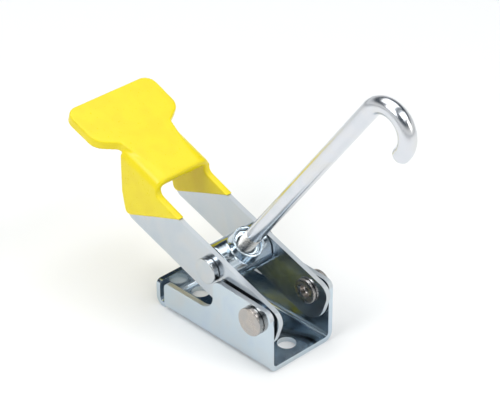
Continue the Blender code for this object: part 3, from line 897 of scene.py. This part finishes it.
@dataclass
class HookRod:
    """The J-hook: a rolled M8 thread, a drawn shank, a half-round bend and a blunt tip."""

    tilt_deg: float = 53.5
    radius: float = 4.0 * MM
    thread_root: float = 3.38 * MM
    pitch: float = 1.25 * MM
    crest_flat: float = 0.16 * MM
    root_flat: float = 0.3 * MM
    lower_end: float = -18.6 * MM
    thread_end: float = 20.0 * MM
    run_out: float = 1.0 * MM
    straight: float = 135.4 * MM
    bend_radius: float = 11.2 * MM
    tail: float = 1.2 * MM
    tip_round: float = 1.6 * MM
    sides: int = 48
    bend_steps: int = 40
    tip_steps: int = 6
    lead_in_turns: float = 1.5             # wound below the lower end and then cut off
    spare_turns: int = 3                   # wound in all beyond the threaded length
    sharp_deg: float = 28.0                # shades the thread's crests and roots sharp

    def thread(self) -> tuple[Mesh, Edges]:
        """Wind the thread's profile round the rod and trim both ends square.

        Returns:
            The threaded length and the edges round its upper end.
        """
        bm = bmesh.new()
        flank = (self.pitch - self.crest_flat - self.root_flat) / 2
        stations = [0.0, self.root_flat, self.root_flat + flank, self.root_flat + flank + self.crest_flat,
                    self.pitch]
        radii = [self.thread_root, self.thread_root, self.radius, self.radius, self.thread_root]
        turns = math.ceil((self.thread_end - self.lower_end) / self.pitch) + self.spare_turns
        start = self.lower_end - self.lead_in_turns * self.pitch
        verts = [bm.verts.new((start + along, 0.0, radius)) for along, radius in zip(stations, radii)]
        edges = [bm.edges.new(pair) for pair in zip(verts, verts[1:])]
        steps = self.sides * turns
        bmesh.ops.spin(bm, geom=verts + edges, cent=(0, 0, 0), axis=(1, 0, 0),
                       dvec=(self.pitch / self.sides, 0, 0), angle=2 * math.pi * turns, steps=steps)
        bmesh.ops.remove_doubles(bm, verts=bm.verts, dist=WELD)
        cut_off(bm, (self.lower_end, 0, 0), (-1, 0, 0))
        return bm, cut_off(bm, (self.thread_end, 0, 0), (1, 0, 0), close=False)

    def ring(self, bm: Mesh, along: float) -> Edges:
        """Add a circle of the shank's size.

        Args:
            bm: The mesh.
            along: Its distance along the rod in metres.

        Returns:
            Its edges.
        """
        face_x = Matrix.Translation((along, 0, 0)) @ Matrix.Rotation(math.pi / 2, 4, "Y")
        verts = bmesh.ops.create_circle(bm, segments=self.sides, radius=self.radius, matrix=face_x)["verts"]
        return list({edge for vert in verts for edge in vert.link_edges})

    def drawn_on(self, bm: Mesh, ring: Edges, shift: Vector, scale: float = 1.0) -> Edges:
        """Extrude a ring of edges, move it and scale it about its middle.

        Args:
            bm: The mesh.
            ring: The edges.
            shift: How far the new ring moves.
            scale: Its size, as a share of the old ring's.

        Returns:
            The new ring.
        """
        parts = bmesh.ops.extrude_edge_only(bm, edges=ring)["geom"]
        verts = only(parts, bmesh.types.BMVert)
        middle = sum((vert.co for vert in verts), Vector()) / len(verts)
        about = Matrix.Translation(shift + middle) @ Matrix.Scale(scale, 4) @ Matrix.Translation(-middle)
        bmesh.ops.transform(bm, matrix=about, verts=verts)
        return only(parts, bmesh.types.BMEdge)

    def build(self) -> None:
        """Build the hook and set it in the trunnion."""
        bm, upper = self.thread()
        ring = self.ring(bm, self.thread_end + self.run_out)
        bmesh.ops.bridge_loops(bm, edges=upper + ring)
        ring = self.drawn_on(bm, ring, Vector((self.straight - self.thread_end - self.run_out, 0, 0)))
        bend = bmesh.ops.spin(bm, geom=ring, cent=(self.straight, 0, -self.bend_radius), axis=(0, 1, 0),
                              dvec=(0, 0, 0), angle=math.pi, steps=self.bend_steps)
        ring = only(bend["geom_last"], bmesh.types.BMEdge)
        ring = self.drawn_on(bm, ring, Vector((-self.tail, 0, 0)))
        core = self.radius - self.tip_round
        angles = [math.pi / 2 * step / self.tip_steps for step in range(self.tip_steps + 1)]
        for low, high in zip(angles, angles[1:]):
            rise = self.tip_round * (math.sin(high) - math.sin(low))
            scale = (core + self.tip_round * math.cos(high)) / (core + self.tip_round * math.cos(low))
            ring = self.drawn_on(bm, ring, Vector((-rise, 0, 0)), scale)
        bmesh.ops.contextual_create(bm, geom=ring)
        bmesh.ops.recalc_face_normals(bm, faces=bm.faces)
        for face in bm.faces:
            face.material_index = int(face.calc_center_median().x < self.thread_end)
        turn = Matrix.Rotation(math.radians(-self.tilt_deg), 4, "Y")
        place = Matrix.Translation(hole_axis("hook_swing")) @ turn
        bmesh.ops.transform(bm, matrix=place, verts=bm.verts)
        turn_y = math.radians(self.tilt_deg)
        # Zinc on drawn bar: pale silver with long, soft streaks of light that follow the rod.
        drawn = ZincPlate("zinc_plate_on_drawn_rod", Grain.DRAWN, plain="#DBDDE2", cool="#D2D7DC",
                          warm="#DDDDDC", smooth=0.19, dull=0.27, turn_y=turn_y).build()
        # Zinc in a rolled thread: each flank catches its own glint between dark roots.
        rolled = ZincPlate("zinc_plate_on_rolled_thread", Grain.SHEARED, plain="#CFCFCC", cool="#C8CBCC",
                           warm="#D3D0C8", smooth=0.2, dull=0.3, turn_y=turn_y).build()
        piece = make_piece("hook_rod", bm, [drawn, rolled], self.sharp_deg)
        mount(piece, "hook", "zinc_steel", "j_hook")


@dataclass
class LockNut:
    """The hexagon lock nut under the trunnion and the nylon ring in its collar."""

    edge_break: float = 0.2 * MM
    edge_strips: int = 2
    crisp_deg: float = 25.0                # a worked edge; the round collar's strips meet at less

    def softened(self, name: str, node: str, finish: Material, slot: str) -> None:
        """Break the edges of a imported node's copy and put it in the node's place.

        Args:
            name: The piece's name.
            node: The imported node.
            finish: Its finish.
            slot: The record's slot for that finish.
        """
        bm = copy_of(node)
        bevel(bm, crisp_edges(bm, self.crisp_deg), self.edge_break, self.edge_strips)
        piece = make_piece(name, bm, [finish])
        even_normals(piece)
        mount(piece, "lock_nut", slot, node)

    def build(self) -> None:
        """Build the nut and its ring."""
        # Zinc over a forging's scale: satin flats between brighter corners.
        forged = ZincPlate("zinc_plate_on_forged_nut", Grain.TURNED, smooth=0.18, dull=0.32).build()
        # Undyed polyamide: a milky, waxy ring that stays pale in the nut's shade.
        nylon = MouldedNylon("moulded_nylon_ring").build()
        self.softened("nut_body", "lock_nut", forged, "zinc_steel")
        self.softened("nut_ring", "nut_insert", nylon, "nylon")


# ---------------------------------------------------------------------------------------------
# The stage
# ---------------------------------------------------------------------------------------------


@dataclass(frozen=True)
class Softbox:
    """One rectangular soft light, in metres and watts."""

    name: str
    spot: Point
    aim: Point
    width: float
    depth: float
    watts: float
    colour: str = "#FFFFFF"

    def hang(self) -> None:
        """Hang the light at its spot, turned to its aim."""
        data = bpy.data.lights.new(self.name, "AREA")
        data.shape = "RECTANGLE"
        data.size = self.width
        data.size_y = self.depth
        data.energy = self.watts
        data.color = linear(self.colour)[:3]
        lamp = bpy.data.objects.new(self.name, data)
        lamp.location = self.spot
        lamp.rotation_euler = (Vector(self.aim) - Vector(self.spot)).to_track_quat("-Z", "Y").to_euler()
        bpy.context.scene.collection.objects.link(lamp)


@dataclass
class Studio:
    """White paper in a room with a dark band of wall, soft lights round the clamp and a long lens."""

    floor_size: float = 9.0
    horizon: str = "#E9EAEA"
    wall: str = "#22323F"
    ceiling: str = "#6E767C"
    horizon_to: float = 0.22               # sines of the height above the horizon
    wall_from: float = 0.43
    wall_to: float = 0.68
    ceiling_from: float = 0.86
    lens_mm: float = 144.015
    sensor_mm: float = 36.0
    clip_start: float = 0.05
    azimuth_deg: float = 46.10244
    elevation_deg: float = 32.01175
    roll_deg: float = 0.2405
    aim_mm: Point = (-2.676, 0.0, 17.647)
    aim_right_mm: float = 5.420
    aim_up_mm: float = 36.839
    distance_mm: float = 927.27
    lights: tuple[Softbox, ...] = (
        Softbox("overhead_left_softbox", (-0.45, 0.16, 1.30), (-0.45, 0.16, 0.0), 1.2, 1.62, 11.6),
        Softbox("overhead_right_softbox", (0.90, 0.30, 1.30), (0.90, 0.30, 0.0), 0.7, 1.9, 10.2),
        Softbox("front_softbox", (-0.12, -0.95, 1.00), (0.0, 0.0, 0.05), 0.6, 0.6, 6.6),
        Softbox("right_softbox", (1.3, 0.5, 0.75), (0.0, 0.0, 0.05), 0.6, 0.6, 4.0, "#FFFDF8"),
    )

    def floor(self) -> None:
        """Lay the paper."""
        bm = bmesh.new()
        bmesh.ops.create_grid(bm, x_segments=2, y_segments=2, size=self.floor_size / 2)
        # Matt white paper: a shadow-soft, near-white ground with no gloss of its own.
        piece = make_piece("paper_sweep", bm, [PaperSweep("matt_white_paper").build()])

    def camera(self) -> None:
        """Set up the long-lens camera."""
        azimuth, elevation = math.radians(self.azimuth_deg), math.radians(self.elevation_deg)
        back = Vector((math.sin(azimuth) * math.cos(elevation), -math.cos(azimuth) * math.cos(elevation),
                       math.sin(elevation)))
        right = Vector((math.cos(azimuth), math.sin(azimuth), 0.0))
        up = back.cross(right)
        roll = math.radians(self.roll_deg)
        across = math.cos(roll) * right - math.sin(roll) * up
        upright = math.sin(roll) * right + math.cos(roll) * up
        target = (Vector(self.aim_mm) + self.aim_right_mm * right + self.aim_up_mm * up) * MM
        data = bpy.data.cameras.new("long_lens")
        data.sensor_width = self.sensor_mm
        data.lens = self.lens_mm
        data.clip_start = self.clip_start
        camera = bpy.data.objects.new("long_lens", data)
        turn = Matrix((across, upright, back)).transposed().to_4x4()
        camera.matrix_world = Matrix.Translation(target + self.distance_mm * MM * back) @ turn
        bpy.context.scene.collection.objects.link(camera)
        bpy.context.scene.camera = camera

    def room(self) -> None:
        """Shade the room: pale at the horizon, dark round the middle, grey overhead."""
        world = bpy.data.worlds.new("dark_room")
        world.use_nodes = True
        tree = world.node_tree
        place = add_node(tree, "TexCoord")
        height = add_node(tree, "SeparateXYZ", None, {"Vector": place.outputs["Object"]})
        tone = add_node(tree, "ValToRGB", None, {"Fac": height.outputs["Z"]})
        set_ramp(tone, [(self.horizon_to, linear(self.horizon)), (self.wall_from, linear(self.wall)),
                        (self.wall_to, linear(self.wall)), (self.ceiling_from, linear(self.ceiling))])
        tree.links.new(tone.outputs["Color"], tree.nodes["Background"].inputs["Color"])
        bpy.context.scene.world = world

    def build(self) -> None:
        """Shade the room, lay the floor, hang the lights and place the camera."""
        bpy.context.scene.view_settings.view_transform = "Standard"
        self.room()
        self.floor()
        for light in self.lights:
            light.hang()
        self.camera()


def main() -> None:
    """Build every sub-assembly, then the stage, and log each as it is done."""
    logging.basicConfig(level=logging.INFO, format="%(name)s: %(message)s")
    for assembly in (Pressings(), VinylGrip(), Rivets(), Trunnion(), HookRod(), LockNut(), Studio()):
        assembly.build()
        LOG.info("%s done", type(assembly).__name__)


if __name__ == "__main__":
    main()
